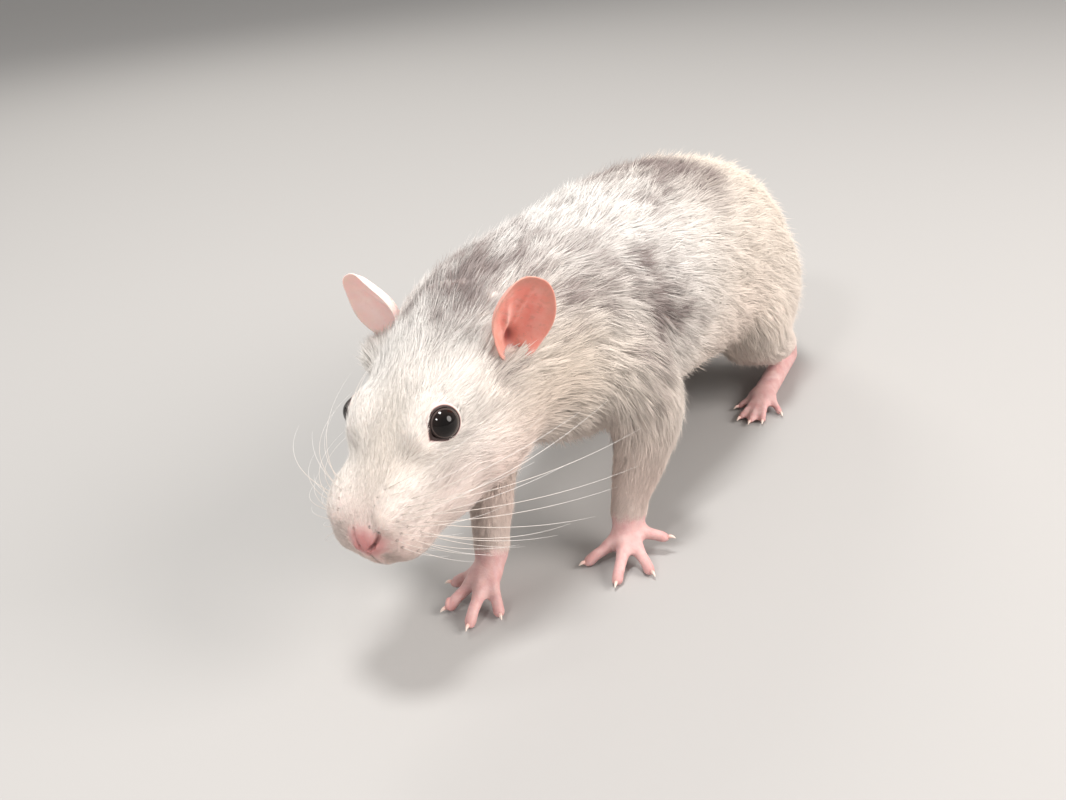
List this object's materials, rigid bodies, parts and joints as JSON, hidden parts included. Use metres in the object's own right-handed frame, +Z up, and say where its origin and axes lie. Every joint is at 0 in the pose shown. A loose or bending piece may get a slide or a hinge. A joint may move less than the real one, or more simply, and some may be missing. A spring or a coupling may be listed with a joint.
{
  "type": "pet rat",
  "caption": "Still, life-size model of a standing pet rat with a low head, cupped ears, spread paws and a long tail laid round on the floor.",
  "frame": {"origin": "on the floor, at the middle of the bounding box of the rat with its tail", "axes": "+Z up; the rat faces -Y, and its left side is towards +X"},
  "size_m": [0.1176, 0.2285, 0.0756],
  "materials": {
    "white_coat": "short soft fur, cream white",
    "grey_coat": "short soft fur, white mottled with grey",
    "pink_skin": "bare pink skin, faintly moist",
    "ear_skin": "thin coral pink skin with fine down",
    "eye_black": "polished black"
  },
  "bodies": {
    "root": {"ear_left": "ear_skin", "ear_right": "ear_skin", "eye_left": "eye_black", "eye_right": "eye_black", "foreleg_left": "white_coat", "foreleg_right": "white_coat", "forepaw_left": "pink_skin", "forepaw_right": "pink_skin", "head": "white_coat", "hindfoot_left": "pink_skin", "hindfoot_right": "pink_skin", "hindleg_left": "white_coat", "hindleg_right": "white_coat", "neck": "grey_coat", "tail_1": "pink_skin", "tail_2": "pink_skin", "tail_3": "pink_skin", "tail_4": "pink_skin", "tail_5": "pink_skin", "torso_front": "grey_coat", "torso_rear": "white_coat"}
  },
  "joints": []
}
